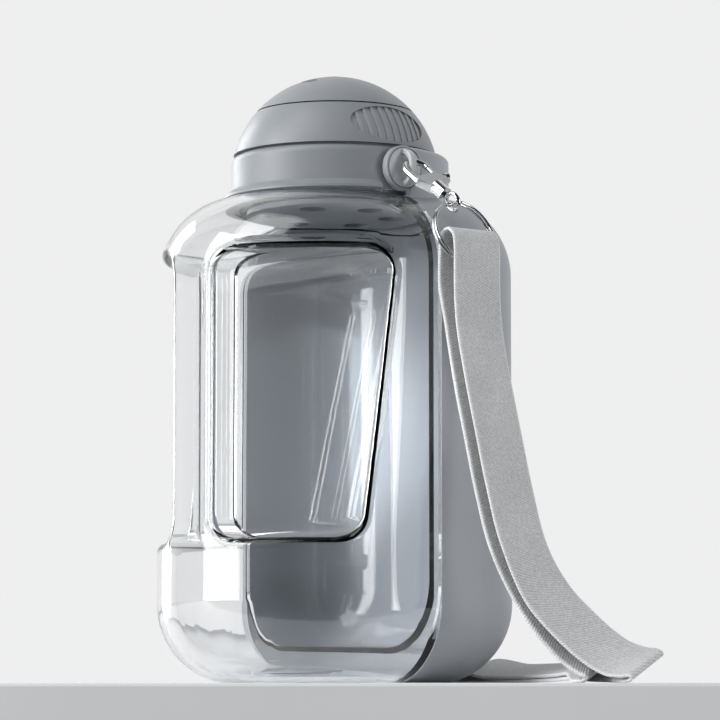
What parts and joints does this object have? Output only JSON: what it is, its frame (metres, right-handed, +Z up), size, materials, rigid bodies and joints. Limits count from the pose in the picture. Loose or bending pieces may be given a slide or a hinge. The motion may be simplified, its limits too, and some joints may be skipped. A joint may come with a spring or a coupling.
{
  "type": "pet travel water bottle",
  "caption": "Clear travel water bottle with a hand hole, a domed screw lid with a turning outlet cap, a grey drinking bowl that flips over the lid, a snap hook and a carrying strap.",
  "frame": {"origin": "on the table under the neck's axis, on the bottle's foot", "axes": "+Z up along the neck's axis, -Y towards the clear front with the hand hole, +X towards the hook and strap"},
  "size_m": [0.2074, 0.146, 0.2308],
  "materials": {
    "clear_plastic": "clear moulded plastic, polished",
    "bowl_grey": "smooth moulded plastic, satin gloss",
    "lid_grey": "smooth moulded plastic, satin gloss",
    "stud_grey": "light grey moulded plastic",
    "seal_grey": "soft silicone, matt",
    "pad_grey": "soft ribbed grip, matt",
    "chrome": "bright plated steel",
    "webbing": "flat woven webbing, light grey"
  },
  "bodies": {
    "bottle": {"clear_bottle": "clear_plastic", "neck_collar": "lid_grey", "lug_stud": "stud_grey", "plain_stud": "stud_grey"},
    "bowl": {"drinking_bowl": "bowl_grey"},
    "seal": {"lid_gasket": "seal_grey"},
    "lid": {"lid_core": "lid_grey", "dome_band": "lid_grey", "grip_pads": "pad_grey", "seal_pad": "seal_grey", "vent_valve": "seal_grey"},
    "outlet": {"dome_cap": "lid_grey", "valve_plate": "lid_grey", "valve_axle": "lid_grey"},
    "hook": {"hook_body": "chrome", "gate_pin": "chrome", "gate_spring": "chrome"},
    "gate": {"hook_gate": "chrome"},
    "swivel_pin": {"swivel": "chrome"},
    "ring": {"split_ring": "chrome"},
    "carry_strap": {"strap": "webbing"}
  },
  "joints": [
    {"name": "bowl_swing", "type": "hinge", "parent": "bottle", "child": "bowl", "pos_m": [0, 0, 0.1908], "axis": [1, 0, 0], "range_deg": [0, 160]},
    {"name": "lid_rise", "type": "slide", "parent": "bottle", "child": "seal", "axis": [0, 0, 1], "range_m": [0, 0.0015]},
    {"name": "lid_unscrew", "type": "hinge", "parent": "seal", "child": "lid", "pos_m": [0, 0, 0.2], "axis": [0, 0, 1], "range_deg": [0, 75]},
    {"name": "valve_turn", "type": "hinge", "parent": "lid", "child": "outlet", "pos_m": [0, 0, 0.216], "axis": [0, 0, 1], "range_deg": [0, 75]},
    {"name": "hook_swing", "type": "hinge", "parent": "bottle", "child": "hook", "pos_m": [0.0446, 0.0002, 0.1926], "axis": [0, -0.9542, -0.2993], "range_deg": [0, 60]},
    {"name": "gate_press", "type": "hinge", "parent": "hook", "child": "gate", "pos_m": [0.05606, 0.00767, 0.18416], "axis": [0.6682, -0.2227, 0.7099], "range_deg": [0, 16], "stiffness_Nm_per_rad": 0.02, "springref_deg": -17.19, "deforming": ["gate_spring"]},
    {"name": "swivel_spin", "type": "hinge", "parent": "hook", "child": "swivel_pin", "pos_m": [0.06052, 0.00448, 0.17896], "axis": [0.744, 0.2, -0.6375], "range_deg": [0, 40]},
    {"name": "ring_swing", "type": "hinge", "parent": "swivel_pin", "child": "ring", "pos_m": [0.06469, 0.0056, 0.17539], "axis": [0, -1, 0], "range_deg": [0, 40]},
    {"name": "strap_swing", "type": "hinge", "parent": "ring", "child": "carry_strap", "pos_m": [0.0736, 0.0055, 0.1626], "axis": [0, -1, 0], "range_deg": [0, 10]}
  ],
  "couplings": [
    {"joint": "lid_unscrew", "follows": "lid_rise", "rad_per_m": 872.6}
  ]
}
